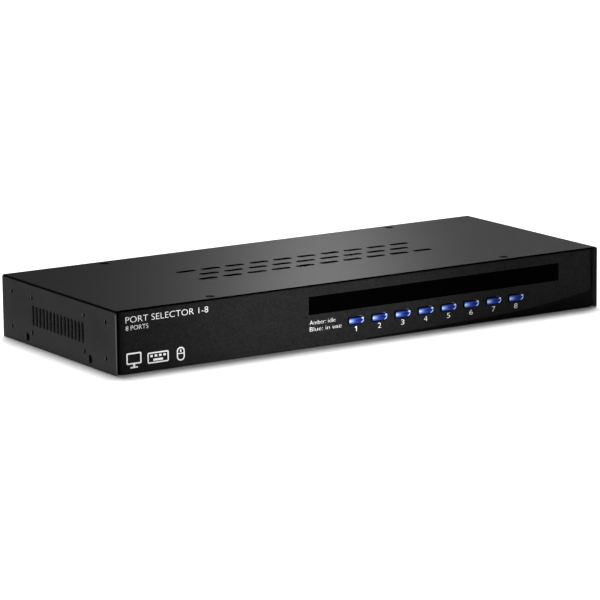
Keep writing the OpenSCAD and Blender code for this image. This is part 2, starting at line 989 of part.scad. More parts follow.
top_cover();
base_tray();
front_panel();
accent_inlay();
label_strip();
cover_screws();
panel_screws();
front_board();
front_board_spacers();
front_board_screws();
switch_housings();
button(1);  // button_1
button(2);  // button_2
button(3);  // button_3
button(4);  // button_4
button(5);  // button_5
button(6);  // button_6
button(7);  // button_7
button(8);  // button_8
switch_plunger(1);  // switch_plunger_1
switch_plunger(2);  // switch_plunger_2
switch_plunger(3);  // switch_plunger_3
switch_plunger(4);  // switch_plunger_4
switch_plunger(5);  // switch_plunger_5
switch_plunger(6);  // switch_plunger_6
switch_plunger(7);  // switch_plunger_7
switch_plunger(8);  // switch_plunger_8
indicator_lamps();
front_header();
main_board();
board_standoffs();
board_screws();
main_header();
ribbon_cable();
front_ribbon_socket();
main_ribbon_socket();
controller_chip();
video_selector_chips();
port_chips();
crystal();
capacitors();
power_coil();
regulator();
heat_sink();
buzzer();
port_shells();
port_inserts();
console_port_shell();
console_port_insert();
chain_port_shell();
chain_port_insert();
jack_screws();
keyboard_mouse_housing();
keyboard_socket();
mouse_socket();
usb_shield();
usb_tongues();
power_inlet();
power_pin();
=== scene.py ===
"""Looks of the KVM switch: materials, finer button caps, printed marks, floor, lights and camera. Metres."""
import math

import bmesh
import bpy
from mathutils import Matrix, Vector

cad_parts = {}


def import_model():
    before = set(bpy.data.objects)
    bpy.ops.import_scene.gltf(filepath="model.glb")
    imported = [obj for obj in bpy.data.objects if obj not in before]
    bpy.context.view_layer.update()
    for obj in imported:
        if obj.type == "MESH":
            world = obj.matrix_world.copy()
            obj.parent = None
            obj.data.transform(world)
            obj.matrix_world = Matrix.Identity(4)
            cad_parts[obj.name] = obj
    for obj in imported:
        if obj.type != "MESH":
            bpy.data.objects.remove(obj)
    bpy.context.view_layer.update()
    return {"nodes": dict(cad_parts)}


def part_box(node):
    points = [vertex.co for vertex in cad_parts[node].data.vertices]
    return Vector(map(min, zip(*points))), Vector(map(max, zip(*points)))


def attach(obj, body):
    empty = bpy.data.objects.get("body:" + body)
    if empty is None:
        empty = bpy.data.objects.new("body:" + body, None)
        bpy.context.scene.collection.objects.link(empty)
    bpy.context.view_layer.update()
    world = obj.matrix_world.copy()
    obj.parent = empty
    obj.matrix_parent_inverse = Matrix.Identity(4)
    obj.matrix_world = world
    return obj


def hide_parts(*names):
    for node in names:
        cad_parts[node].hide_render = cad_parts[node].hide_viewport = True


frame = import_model()

MM = 0.001
PORTS = 8


# ---- places read from the frame ----

def low(node):
    return Vector(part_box(node)[0])


def high(node):
    return Vector(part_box(node)[1])


def middle(node):
    return (low(node) + high(node)) / 2


CASE_LOW, CASE_HIGH = low("top_cover"), high("top_cover")
CASE_MID = (CASE_LOW + CASE_HIGH) / 2
PANEL_FACE = low("front_panel").y
REAR_FACE = high("base_tray").y
SCREW_HEAD_RADIUS = 3 * MM
SCREW_AT = high("cover_screws") - Vector((SCREW_HEAD_RADIUS, SCREW_HEAD_RADIUS, 0))


# ---- outlines ----

def rounded_box(cx, cz, w, h, radii, steps=8):
    """Outline of a box in X and Z, corner radii in the order low left, low right, top right, top left."""
    corners = ((-1, -1, 180), (1, -1, 270), (1, 1, 0), (-1, 1, 90))
    points = []
    for (sx, sz, start), r in zip(corners, radii):
        ox, oz = cx + sx * (w / 2 - r), cz + sz * (h / 2 - r)
        for k in range(steps + 1):
            a = math.radians(start + 90 * k / steps)
            points.append((ox + r * math.cos(a), oz + r * math.sin(a)))
    return points


def circle(cx, cz, r, count):
    """Points of a circle that pair with those of a rounded box: the first lies at low left."""
    turn = [math.radians(180 + 360 * (k + 0.5) / count) for k in range(count)]
    return [(cx + r * math.cos(a), cz + r * math.sin(a)) for a in turn]


# ---- meshes ----

def new_piece(name, mesh, body="case"):
    piece = bpy.data.objects.new(name, mesh)
    bpy.context.scene.collection.objects.link(piece)
    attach(piece, body)
    return piece


def smooth(mesh, angle=35):
    for polygon in mesh.polygons:
        polygon.use_smooth = True
    mesh.set_sharp_from_angle(angle=math.radians(angle))


def loft(name, rings):
    """A closed skin through rings of (outline, y), all with the same number of points."""
    bm = bmesh.new()
    loops = [[bm.verts.new((x, y, z)) for x, z in outline] for outline, y in rings]
    count = len(loops[0])
    for a, b in zip(loops, loops[1:]):
        for k in range(count):
            bm.faces.new((a[k], a[(k + 1) % count], b[(k + 1) % count], b[k]))
    bm.faces.new(list(reversed(loops[0])))
    bm.faces.new(loops[-1])
    bmesh.ops.recalc_face_normals(bm, faces=bm.faces)
    mesh = bpy.data.meshes.new(name)
    bm.to_mesh(mesh)
    bm.free()
    return mesh


INK_GAP = 0.004 * MM
INK_TOP = 0.03 * MM


def printed(name, shapes, y, out):
    """Ink on a face at y: shapes are (outline, hole or None), out is -1 on the front and 1 on the rear."""
    bm = bmesh.new()
    for outline, hole in shapes:
        count = len(outline)
        layers = (y + out * INK_GAP, y + out * INK_TOP)
        edge = [[bm.verts.new((x, level, z)) for x, z in outline] for level in layers]
        if hole:
            inner = [[bm.verts.new((x, level, z)) for x, z in hole] for level in layers]
        for k in range(count):
            n = (k + 1) % count
            bm.faces.new((edge[0][k], edge[0][n], edge[1][n], edge[1][k]))
            if hole:
                bm.faces.new((inner[0][k], inner[1][k], inner[1][n], inner[0][n]))
                for level in (0, 1):
                    bm.faces.new((edge[level][k], edge[level][n], inner[level][n], inner[level][k]))
        if not hole:
            for level in (0, 1):
                bm.faces.new(edge[level])
    bmesh.ops.recalc_face_normals(bm, faces=bm.faces)
    mesh = bpy.data.meshes.new(name)
    bm.to_mesh(mesh)
    bm.free()
    piece = new_piece(name, mesh)
    piece.data.materials.append(INK)
    return piece


def lettering(name, lines, y, out, weight):
    """Generic lettering as thin solids; lines are (text, left or middle x, base z, height, width, centred).

    A width of None keeps the letters' own proportions, and weight thickens or thins the strokes.
    """
    bm = bmesh.new()
    for text, x, z, height, width, centred in lines:
        curve = bpy.data.curves.new(name, "FONT")
        curve.body = text
        curve.resolution_u = 5
        curve.offset = weight
        curve.extrude = 0.003
        holder = bpy.data.objects.new(name + "_text", curve)
        bpy.context.scene.collection.objects.link(holder)
        bpy.context.view_layer.update()
        mesh = bpy.data.meshes.new_from_object(holder.evaluated_get(bpy.context.evaluated_depsgraph_get()))
        bpy.data.objects.remove(holder)
        bpy.data.curves.remove(curve)
        xs = [v.co.x for v in mesh.vertices]
        ys = [v.co.y for v in mesh.vertices]
        zs = [v.co.z for v in mesh.vertices]
        tall = height / (max(ys) - min(ys))
        wide = width / (max(xs) - min(xs)) if width else tall
        shift = (max(xs) + min(xs)) / 2 if centred else min(xs)
        for v in mesh.vertices:
            depth = (v.co.z - min(zs)) / (max(zs) - min(zs))
            side = -out * (v.co.x - shift) * wide
            level = INK_GAP + (INK_TOP - INK_GAP) * depth
            v.co = (x + side, y + out * level, z + (v.co.y - min(ys)) * tall)
        bm.from_mesh(mesh)
        bpy.data.meshes.remove(mesh)
    bmesh.ops.remove_doubles(bm, verts=bm.verts, dist=1e-7)
    bmesh.ops.recalc_face_normals(bm, faces=bm.faces)
    mesh = bpy.data.meshes.new(name)
    bm.to_mesh(mesh)
    bm.free()
    piece = new_piece(name, mesh)
    piece.data.materials.append(INK)
    return piece


# ---- materials ----

class Surface:
    """A Principled material and short ways to build its nodes."""

    def __init__(self, name, color, roughness, metallic=0.0, specular=0.5):
        self.material = bpy.data.materials.new(name)
        self.material.use_nodes = True
        self.tree = self.material.node_tree
        self.shader = self.tree.nodes["Principled BSDF"]
        self.shader.inputs["Base Color"].default_value = (*color, 1)
        self.shader.inputs["Roughness"].default_value = roughness
        self.shader.inputs["Metallic"].default_value = metallic
        self.shader.inputs["Specular IOR Level"].default_value = specular
        self.place = self.node("ShaderNodeTexCoord").outputs["Object"]

    def node(self, kind, **values):
        made = self.tree.nodes.new(kind)
        for key, value in values.items():
            setattr(made, key, value)
        return made

    def link(self, source, target):
        self.tree.links.new(source, target)

    def stretched(self, x, y, z):
        mapping = self.node("ShaderNodeMapping")
        mapping.inputs["Scale"].default_value = (x, y, z)
        self.link(self.place, mapping.inputs["Vector"])
        return mapping.outputs["Vector"]

    def noise(self, scale, detail=2.0, rough=0.5, place=None):
        made = self.node("ShaderNodeTexNoise")
        made.inputs["Scale"].default_value = scale
        made.inputs["Detail"].default_value = detail
        made.inputs["Roughness"].default_value = rough
        self.link(place or self.place, made.inputs["Vector"])
        return made.outputs["Fac"]

    def cells(self, scale):
        made = self.node("ShaderNodeTexVoronoi", feature="F1")
        made.inputs["Scale"].default_value = scale
        self.link(self.place, made.inputs["Vector"])
        return made.outputs["Distance"]

    def remap(self, value, from_low, from_high, to_low, to_high):
        made = self.node("ShaderNodeMapRange")
        for key, number in zip(("From Min", "From Max", "To Min", "To Max"),
                               (from_low, from_high, to_low, to_high)):
            made.inputs[key].default_value = number
        self.link(value, made.inputs["Value"])
        return made.outputs["Result"]

    def math(self, operation, a, b=None):
        made = self.node("ShaderNodeMath", operation=operation)
        for k, value in enumerate((a, b)):
            if value is None:
                continue
            if isinstance(value, (int, float)):
                made.inputs[k].default_value = value
            else:
                self.link(value, made.inputs[k])
        return made.outputs["Value"]

    def blend(self, factor, a, b):
        made = self.node("ShaderNodeMix", data_type="RGBA")
        self.link(factor, made.inputs["Factor"])
        for key, value in (("A", a), ("B", b)):
            socket = next(s for s in made.inputs if s.name == key and s.type == "RGBA")
            if isinstance(value, tuple):
                socket.default_value = (*value, 1)
            else:
                self.link(value, socket)
        return next(s for s in made.outputs if s.type == "RGBA")

    def bump(self, height, strength, distance):
        made = self.node("ShaderNodeBump")
        made.inputs["Strength"].default_value = strength
        made.inputs["Distance"].default_value = distance
        self.link(height, made.inputs["Height"])
        self.link(made.outputs["Normal"], self.shader.inputs["Normal"])

    def color(self, value):
        self.link(value, self.shader.inputs["Base Color"])

    def roughness(self, value):
        self.link(value, self.shader.inputs["Roughness"])

    def facing(self, axis):
        """How far the surface faces along an axis of the object, 0 to 1, either way."""
        split = self.node("ShaderNodeSeparateXYZ")
        geometry = self.node("ShaderNodeTexCoord")
        self.link(geometry.outputs["Normal"], split.inputs["Vector"])
        return self.math("ABSOLUTE", split.outputs[axis])

    def axis(self, name):
        split = self.node("ShaderNodeSeparateXYZ")
        self.link(self.place, split.inputs["Vector"])
        return split.outputs[name]


def scaled(color, k):
    return tuple(c * k for c in color)


def coat_grain(s, base):
    """Speckle of a powder coat: fine grain, blotches about a millimetre across, and slow drift."""
    grain = s.noise(1500, 3.0, 0.6)
    speck = s.noise(880, 2.0, 0.6)
    patches = s.noise(38, 2.0)
    coat = s.blend(s.remap(grain, 0.35, 0.65, 0, 1), scaled(base, 0.65), scaled(base, 1.7))
    coat = s.blend(s.remap(speck, 0.36, 0.62, 0, 0.95), coat, scaled(base, 0.38))
    coat = s.blend(s.remap(patches, 0.3, 0.7, 0, 0.35), coat, scaled(base, 1.12))
    relief = s.math("ADD", grain, s.math("MULTIPLY", s.cells(1500), 0.5))
    s.bump(s.math("ADD", relief, speck), 0.35, 0.00006)
    return grain, coat


def powder_coat():
    """Black coat of the cover.

    Painted highlight: pale on the left sheet's front edge and at the mouths of the round side holes. Painted
    shade: near black inside those holes and the top slots, on the other cut ends, the top sheet's front
    margin, along the bends and around the cover screws. Painted light: the sides paler towards the bottom.
    The side vents' walls keep the coat. A metallic near black stays dark at a grazing angle.
    """
    base = (0.0300, 0.0300, 0.0310)
    s = Surface("powder_coat", base, 0.43, specular=0.42)
    grain, coat = coat_grain(s, base)
    x, y, z = (s.axis(name) for name in "XYZ")
    out_x, out_y = s.math("ABSOLUTE", x), s.math("ABSOLUTE", y)
    cut = s.remap(s.facing("Y"), 0.55, 0.95, 0, 1)
    at_end = s.remap(out_y, CASE_HIGH.y - 0.5 * MM, CASE_HIGH.y - 0.4 * MM, 0, 1)
    side = s.remap(out_x, CASE_HIGH.x - 3 * MM, CASE_HIGH.x - 2.5 * MM, 0, 1)
    vents = s.remap(s.math("ABSOLUTE", s.math("SUBTRACT", z, CASE_MID.z)), 9.0 * MM, 9.5 * MM, 1, 0)
    inner_cut = s.math("MULTIPLY", s.math("MULTIPLY", cut, side), s.math("SUBTRACT", 1.0, at_end))
    hole_walls = s.math("MULTIPLY", inner_cut, s.math("SUBTRACT", 1.0, vents))
    # painted highlight: a pale ring where the round side holes meet the outer face
    rim = s.remap(out_x, CASE_HIGH.x - 0.75 * MM, CASE_HIGH.x - 0.5 * MM, 0, 1)
    lit_mouth = s.math("MULTIPLY", hole_walls, rim)
    coat = s.blend(lit_mouth, coat, (0.17, 0.17, 0.175))
    flecks = s.math("MULTIPLY", s.facing("Z"), s.remap(s.noise(520, 2.0), 0.42, 0.62, 0, 0.45))
    coat = s.blend(flecks, coat, (0.016, 0.016, 0.0165))
    # painted light: the sides paler towards the bottom, standing in for light bounced from the floor
    painted_bounce_light = s.math("MULTIPLY", s.facing("X"), s.remap(z, 20 * MM, 3 * MM, 0, 0.3))
    coat = s.blend(painted_bounce_light, coat, (0.058, 0.058, 0.060))
    # painted highlight: the front edge of the left sheet is pale where light from the left catches it, and
    # the right one stays dark
    lit_left_side = s.remap(x, CASE_LOW.x + 2.5 * MM, CASE_LOW.x + 2.2 * MM, 0, 1)
    below_bend = s.remap(z, CASE_HIGH.z - 2.6 * MM, CASE_HIGH.z - 1.2 * MM, 1, 0)
    lit_left_edge = s.math("MULTIPLY", s.math("MULTIPLY", s.math("MULTIPLY", cut, at_end), lit_left_side), below_bend)
    highlight_mottle = s.remap(s.noise(300, 2.0), 0.2, 0.6, 0.8, 1.0)
    # painted shade, near black: walls of the top slots and holes, the sheet ends, the top sheet's front
    # margin, the bends and rings round the cover screws
    upright = s.remap(s.facing("Z"), 0.5, 0.2, 0, 1)
    inland = s.remap(out_x, CASE_HIGH.x - 3.2 * MM, CASE_HIGH.x - 3.4 * MM, 0, 1)
    lip_shade = s.remap(y, CASE_LOW.y + 1.3 * MM, CASE_LOW.y + 1.1 * MM, 0, 1)
    dark = s.math("MULTIPLY", s.math("MAXIMUM", upright, lip_shade), inland)
    dark = s.math("MAXIMUM", dark, s.math("MULTIPLY", cut, at_end))
    dark = s.math("MAXIMUM", dark, s.math("SUBTRACT", hole_walls, lit_mouth))
    bend_shade = s.remap(s.math("MULTIPLY", s.facing("X"), s.facing("Z")), 0.25, 0.42, 0, 1)
    dark = s.math("MAXIMUM", dark, bend_shade)
    dx, dy = s.math("SUBTRACT", out_x, SCREW_AT.x), s.math("SUBTRACT", out_y, SCREW_AT.y)
    from_screw = s.math("SQRT", s.math("ADD", s.math("MULTIPLY", dx, dx), s.math("MULTIPLY", dy, dy)))
    dark = s.math("MAXIMUM", dark, s.remap(from_screw, 4.3 * MM, 3.5 * MM, 0, 1))
    dark = s.math("MULTIPLY", dark, s.math("SUBTRACT", 1.0, lit_left_edge))
    coat = s.blend(dark, coat, (0.002, 0.002, 0.002))
    s.color(s.blend(s.math("MULTIPLY", lit_left_edge, highlight_mottle), coat, (0.095, 0.095, 0.098)))
    s.link(dark, s.shader.inputs["Metallic"])
    s.roughness(s.remap(grain, 0.3, 0.7, 0.35, 0.50))
    return s.material


def tray_coat():
    base = (0.024, 0.024, 0.025)
    s = Surface("tray_coat", base, 0.52, specular=0.42)
    grain, coat = coat_grain(s, base)
    s.color(coat)
    s.roughness(s.remap(grain, 0.3, 0.7, 0.44, 0.6))
    return s.material


def spark_plastic():
    """Fine spark-eroded texture, with painted shade where the panel rounds back, under the top sheet and on
    faces turned from the front.
    """
    base = (0.0105, 0.0105, 0.0108)
    s = Surface("spark_plastic", base, 0.55, specular=0.18)
    grain = s.noise(3600, 4.0, 0.7)
    speck = s.noise(1050, 2.0, 0.65)
    pits = s.cells(2100)
    mottle = s.noise(120, 3.0)
    skin = s.blend(s.remap(grain, 0.35, 0.65, 0, 1), scaled(base, 0.65), scaled(base, 1.8))
    skin = s.blend(s.remap(speck, 0.40, 0.62, 0, 0.95), skin, scaled(base, 0.25))
    skin = s.blend(s.remap(mottle, 0.35, 0.65, 0, 0.3), skin, scaled(base, 0.85))
    # painted shade: darker towards the rounded ends, in a line under the top sheet, and on faces that turn
    # away from the front
    from_end = s.math("SUBTRACT", CASE_HIGH.x, s.math("ABSOLUTE", s.axis("X")))
    ends = s.remap(from_end, 3.6 * MM, 8.0 * MM, 0.92, 0)
    seam = s.remap(s.axis("Z"), CASE_HIGH.z - 1.7 * MM, CASE_HIGH.z - 1.4 * MM, 0, 0.95)
    walls = s.remap(s.facing("Y"), 0.9, 0.6, 0, 0.95)
    s.color(s.blend(s.math("MAXIMUM", s.math("MAXIMUM", ends, seam), walls), skin, scaled(base, 0.04)))
    s.roughness(s.remap(grain, 0.3, 0.7, 0.48, 0.66))
    s.bump(s.math("ADD", s.math("ADD", grain, pits), speck), 0.5, 0.00007)
    return s.material


def gloss_black(name, color, roughness, specular):
    s = Surface(name, color, roughness, specular=specular)
    haze = s.noise(55, 4.0, 0.65)
    fine = s.noise(900, 2.0)
    s.color(s.blend(s.remap(haze, 0.35, 0.7, 0, 1), color, scaled(color, 1.35)))
    s.roughness(s.remap(haze, 0.3, 0.7, roughness * 0.7, roughness * 1.5))
    s.bump(fine, 0.04, 0.00002)
    return s.material


def blue_cap():
    """Translucent blue moulding, deep blue between painted highlights at both ends; painted shade at the
    edges.
    """
    s = Surface("blue_cap", (0.05, 0.09, 0.5), 0.13, specular=0.4)
    x, z = s.axis("X"), s.axis("Z")
    # painted light: lighter blue at the left and right ends, and a darker edge blue as painted shade along
    # the top and bottom
    lit_left_blue = (0.024, 0.056, 0.32)
    deep_blue = (0.010, 0.021, 0.150)
    right_blue = (0.009, 0.034, 0.26)
    edge_shade_blue = (0.007, 0.010, 0.055)
    highlight_blue = (0.55, 0.76, 1.0)

    def distance(cx, cz, squash):
        dx = s.math("SUBTRACT", x, cx)
        dz = s.math("MULTIPLY", s.math("SUBTRACT", z, cz), squash)
        return s.math("SQRT", s.math("ADD", s.math("MULTIPLY", dx, dx), s.math("MULTIPLY", dz, dz)))

    cloud = s.noise(420, 2.0)
    color = s.blend(s.remap(x, -3.0 * MM, 1.5 * MM, 0, 1), lit_left_blue, deep_blue)
    color = s.blend(s.remap(x, 2.4 * MM, 4.4 * MM, 0, 1), color, right_blue)
    color = s.blend(s.remap(s.math("ABSOLUTE", z), 1.55 * MM, 2.05 * MM, 0, 0.9), color, edge_shade_blue)
    # painted highlights: a pale tongue from the left end, a spot at the top right and a sweep round the
    # lower right corner
    left_highlight = s.remap(distance(-5.9 * MM, 0.1 * MM, 2.9), 0.2 * MM, 5.9 * MM, 1, 0)
    left_highlight = s.math("MULTIPLY", s.math("POWER", left_highlight, 2.2), s.remap(cloud, 0.2, 0.8, 0.75, 0.95))
    corner_highlight = s.remap(distance(5.0 * MM, 1.5 * MM, 1.3), 0.3 * MM, 1.4 * MM, 0.75, 0)
    lower_right_highlight = s.math("MULTIPLY", s.remap(distance(3.2 * MM, 0.8 * MM, 1.0), 1.9 * MM, 2.5 * MM, 0, 1),
                   s.math("MULTIPLY", s.remap(x, 3.2 * MM, 4.4 * MM, 0, 1),
                          s.remap(z, 0.9 * MM, -0.4 * MM, 0.2, 1)))
    color = s.blend(s.math("MAXIMUM", left_highlight, s.math("MAXIMUM", corner_highlight, lower_right_highlight)), color, highlight_blue)
    # painted shade: the side walls near black
    walls = s.remap(s.facing("Y"), 0.8, 0.45, 0, 1)
    color = s.blend(walls, color, (0.002, 0.002, 0.004))
    s.color(color)
    # painted glow: the cap's colour also emits a little, though the cap is no lamp
    s.link(color, s.shader.inputs["Emission Color"])
    s.shader.inputs["Emission Strength"].default_value = 0.06
    s.shader.inputs["Coat Weight"].default_value = 0.12
    s.shader.inputs["Coat Roughness"].default_value = 0.06
    s.link(walls, s.shader.inputs["Metallic"])
    s.roughness(s.math("MAXIMUM", s.remap(cloud, 0.3, 0.7, 0.1, 0.17), s.math("MULTIPLY", walls, 0.7)))
    return s.material


def moulded(name, color, roughness=0.5, specular=0.4):
    s = Surface(name, color, roughness, specular=specular)
    grain = s.noise(3000, 3.0, 0.6)
    flow = s.noise(160, 2.0)
    skin = s.blend(s.remap(grain, 0.35, 0.65, 0, 1), scaled(color, 0.88), scaled(color, 1.1))
    s.color(s.blend(s.remap(flow, 0.3, 0.7, 0, 0.4), skin, scaled(color, 0.93)))
    s.roughness(s.remap(grain, 0.3, 0.7, roughness * 0.88, roughness * 1.12))
    s.bump(grain, 0.2, 0.00003)
    return s.material


def plated(name, color, roughness=0.28, grain_scale=(250, 4000, 250)):
    s = Surface(name, color, roughness, metallic=1.0)
    lines = s.noise(1.0, 3.0, 0.6, s.stretched(*grain_scale))
    stain = s.noise(260, 3.0)
    metal = s.blend(s.remap(lines, 0.3, 0.7, 0, 1), scaled(color, 0.86), scaled(color, 1.08))
    s.color(s.blend(s.remap(stain, 0.45, 0.75, 0, 0.35), metal, scaled(color, 0.75)))
    s.roughness(s.remap(stain, 0.3, 0.7, roughness * 0.8, roughness * 1.3))
    s.bump(lines, 0.12, 0.00002)
    return s.material


def circuit_board():
    base = (0.018, 0.085, 0.035)
    s = Surface("circuit_board", base, 0.34, specular=0.5)
    made = s.node("ShaderNodeTexVoronoi", feature="F2", distance="CHEBYCHEV")
    made.inputs["Scale"].default_value = 210
    s.link(s.place, made.inputs["Vector"])
    traces = s.math("FRACT", s.math("MULTIPLY", made.outputs["Distance"], 9.0))
    line = s.remap(traces, 0.55, 0.62, 0, 1)
    weave = s.noise(1.0, 2.0, 0.5, s.stretched(1700, 1700, 1700))
    resist = s.blend(s.remap(weave, 0.3, 0.7, 0, 1), scaled(base, 0.85), scaled(base, 1.12))
    s.color(s.blend(line, resist, (0.03, 0.15, 0.055)))
    s.bump(line, 0.3, 0.00003)
    return s.material


WIRE_PITCH = 1.27 * MM


def ribbon_insulation():
    s = Surface("ribbon_insulation", (0.3, 0.31, 0.33), 0.55)
    wires = s.node("ShaderNodeTexWave", wave_type="BANDS", bands_direction="X")
    wires.inputs["Scale"].default_value = 0.5 / WIRE_PITCH
    s.link(s.place, wires.inputs["Vector"])
    s.color(s.blend(wires.outputs["Fac"], (0.2, 0.205, 0.22), (0.38, 0.39, 0.41)))
    s.bump(wires.outputs["Fac"], 0.6, 0.0003)
    return s.material


def clear_epoxy():
    s = Surface("clear_epoxy", (0.82, 0.86, 0.9), 0.12)
    depth = s.noise(700, 2.0)
    s.color(s.blend(depth, (0.66, 0.7, 0.74), (0.88, 0.91, 0.94)))
    s.shader.inputs["Transmission Weight"].default_value = 0.5
    return s.material


def ink():
    s = Surface("legend_ink", (0.86, 0.86, 0.86), 0.6, specular=0.3)
    grain = s.noise(5200, 2.0)
    s.color(s.blend(s.remap(grain, 0.3, 0.6, 0, 1), (0.74, 0.74, 0.74), (0.9, 0.9, 0.9)))
    s.bump(grain, 0.1, 0.00001)
    return s.material


INK = ink()
COAT = powder_coat()
TRAY = tray_coat()
PANEL = spark_plastic()
ACCENT = gloss_black("accent_gloss", (0.0032, 0.0032, 0.0034), 0.16, 0.16)
STRIP = gloss_black("strip_gloss", (0.0003, 0.0003, 0.0004), 0.07, 0.05)
CAP = blue_cap()
ZINC = plated("zinc_plate", (0.6, 0.61, 0.62), 0.3)
TIN = plated("tin_plate", (0.66, 0.67, 0.68), 0.24)
BOARD = circuit_board()
BLACK_PLASTIC = moulded("black_plastic", (0.017, 0.017, 0.018))
CHIP = moulded("chip_epoxy", (0.02, 0.02, 0.021), 0.62, 0.3)

NODE_MATERIALS = {
    COAT: ["top_cover"],
    TRAY: ["base_tray"],
    PANEL: ["front_panel"],
    ACCENT: ["accent_inlay"],
    STRIP: ["label_strip"],
    moulded("black_oxide", (0.003, 0.003, 0.0032), 0.6, 0.012): ["cover_screws"],
    ZINC: ["panel_screws", "front_board_screws", "front_board_spacers", "board_standoffs",
           "board_screws", "jack_screws"],
    TIN: ["port_shells", "console_port_shell", "chain_port_shell", "keyboard_mouse_housing",
          "usb_shield", "power_pin", "crystal"],
    BOARD: ["front_board", "main_board"],
    moulded("switch_plastic", (0.045, 0.045, 0.048)): ["switch_housings"],
    BLACK_PLASTIC: ["front_header", "main_header", "front_ribbon_socket", "main_ribbon_socket",
                    "buzzer", "chain_port_insert", "power_inlet"]
                   + [f"switch_plunger_{i}" for i in range(1, PORTS + 1)],
    CHIP: ["controller_chip", "video_selector_chips", "port_chips", "regulator"],
    clear_epoxy(): ["indicator_lamps"],
    ribbon_insulation(): ["ribbon_cable"],
    gloss_black("capacitor_sleeve", (0.02, 0.028, 0.09), 0.2, 0.5): ["capacitors"],
    moulded("ferrite", (0.03, 0.03, 0.032), 0.7, 0.3): ["power_coil"],
    plated("sink_aluminium", (0.3, 0.31, 0.33), 0.42): ["heat_sink"],
    moulded("blue_insert", (0.02, 0.07, 0.34)): ["port_inserts", "console_port_insert"],
    moulded("purple_insert", (0.14, 0.07, 0.3)): ["keyboard_socket"],
    moulded("green_insert", (0.04, 0.25, 0.1)): ["mouse_socket"],
    moulded("white_insert", (0.7, 0.7, 0.68)): ["usb_tongues"],
}


def dress_nodes():
    for material, names in NODE_MATERIALS.items():
        for name in names:
            data = frame["nodes"][name].data
            data.materials.clear()
            data.materials.append(material)


def soften(name, width, segments=2):
    """Breaks the hard edges of a CAD node with a small bevel, once its flat faces are whole again."""
    node = frame["nodes"][name]
    flat = node.modifiers.new("whole_faces", "DECIMATE")
    flat.decimate_type = "DISSOLVE"
    flat.angle_limit = math.radians(0.5)
    bevel = node.modifiers.new("edge_break", "BEVEL")
    bevel.width = width
    bevel.segments = segments
    bevel.limit_method = "ANGLE"
    bevel.angle_limit = math.radians(40)
    bevel.harden_normals = True


# ---- buttons ----

def button_cap(index):
    """One cap as a closed skin: crowned face, rounded rim, side wall, back flange and stem."""
    node = f"button_{index}"
    body = f"press_{index}"
    lowest, highest = low(node), high(node)
    wall_x, wall_z = 1.9 * MM, 1.5 * MM
    w = highest.x - lowest.x - 2 * wall_x
    h = highest.z - lowest.z - 2 * wall_z
    flange_y = PANEL_FACE + 2.5 * MM
    flange_t = 0.7 * MM
    radii = [0.6 * MM, 3.0 * MM, 1.0 * MM, 0.6 * MM]
    steps = 10

    def outline(inset):
        shrunk = [max(r - inset, 0.08 * MM) for r in radii]
        return rounded_box(0, 0, w - 2 * inset, h - 2 * inset, shrunk, steps)

    def depth(inset):
        rim = 0.75 * MM
        edge = 0.42 * MM * (1 - math.sqrt(max(0.0, 1 - (1 - min(inset, rim) / rim) ** 2)))
        crown = 0.22 * MM * (1 - min(inset / (h / 2), 1.0)) ** 2
        return lowest.y + edge + crown

    insets = [0.9, 0.84, 0.74, 0.6, 0.45, 0.32, 0.24, 0.17, 0.11, 0.06, 0.02, 0.004, 0.0]
    rings = [(outline(k * h / 2), depth(k * h / 2)) for k in insets]
    count = len(rings[0][0])
    rings.append((outline(0), flange_y - 0.02 * MM))
    for y in (flange_y, flange_y + flange_t):
        rings.append((rounded_box(0, 0, w + 2 * wall_x, h + 2 * wall_z, [0.8 * MM] * 4, steps), y))
    stem = 1.5 * MM
    rings.append((circle(0, 0, stem, count), flange_y + flange_t + 0.01 * MM))
    rings.append((circle(0, 0, stem, count), highest.y))
    mesh = loft(f"cap_{index}", rings)
    smooth(mesh, 40)
    mesh.materials.append(CAP)
    piece = bpy.data.objects.new(f"button_cap_{index}", mesh)
    bpy.context.scene.collection.objects.link(piece)
    piece.location = ((lowest.x + highest.x) / 2, 0, (lowest.z + highest.z) / 2)
    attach(piece, body)
    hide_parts(node)


# ---- printed marks, all generic ----

def screen_icon(x, z, size):
    """A screen on its stand."""
    line = size * 0.085
    outer = rounded_box(x, z + size * 0.12, size, size * 0.68, [size * 0.09] * 4)
    inner = rounded_box(x, z + size * 0.12, size - 2 * line, size * 0.68 - 2 * line, [size * 0.03] * 4)
    neck = rounded_box(x, z - size * 0.3, size * 0.14, size * 0.15, [line * 0.1] * 4)
    foot = rounded_box(x, z - size * 0.41, size * 0.5, line, [line * 0.3] * 4)
    return [(outer, inner), (neck, None), (foot, None)]


def keyboard_icon(x, z, size):
    """A keyboard with two rows of keys and a long bar."""
    line = size * 0.055
    h = size * 0.46
    outer = rounded_box(x, z, size, h, [size * 0.07] * 4)
    inner = rounded_box(x, z, size - 2 * line, h - 2 * line, [size * 0.02] * 4)
    shapes = [(outer, inner)]
    key = size * 0.09
    for k in range(4):
        key_x = x + (k - 1.5) * size * 0.205
        shapes.append((rounded_box(key_x, z + size * 0.075, key * 1.3, key, [key * 0.2] * 4), None))
    shapes.append((rounded_box(x, z - size * 0.09, size * 0.46, key, [key * 0.2] * 4), None))
    return shapes


def mouse_icon(x, z, size):
    """A two-button mouse seen from above."""
    line = size * 0.075
    w, h = size * 0.56, size * 0.86
    outer = rounded_box(x, z, w, h, [w * 0.46] * 4)
    inner = rounded_box(x, z, w - 2 * line, h - 2 * line, [(w - 2 * line) * 0.46] * 4)
    wheel = rounded_box(x, z + h * 0.22, line * 1.1, h * 0.2, [line * 0.5] * 4)
    seam = rounded_box(x, z + h * 0.03, w - 2 * line, line * 0.7, [line * 0.1] * 4)
    return [(outer, inner), (wheel, None), (seam, None)]


DIGIT_DROP = 7.7 * MM
DIGIT_HEIGHT = 3.6 * MM
DIGIT_WIDTH = 2.8 * MM
SHELL_WIDTH = 30.8 * MM
THIN_STROKES = -0.018


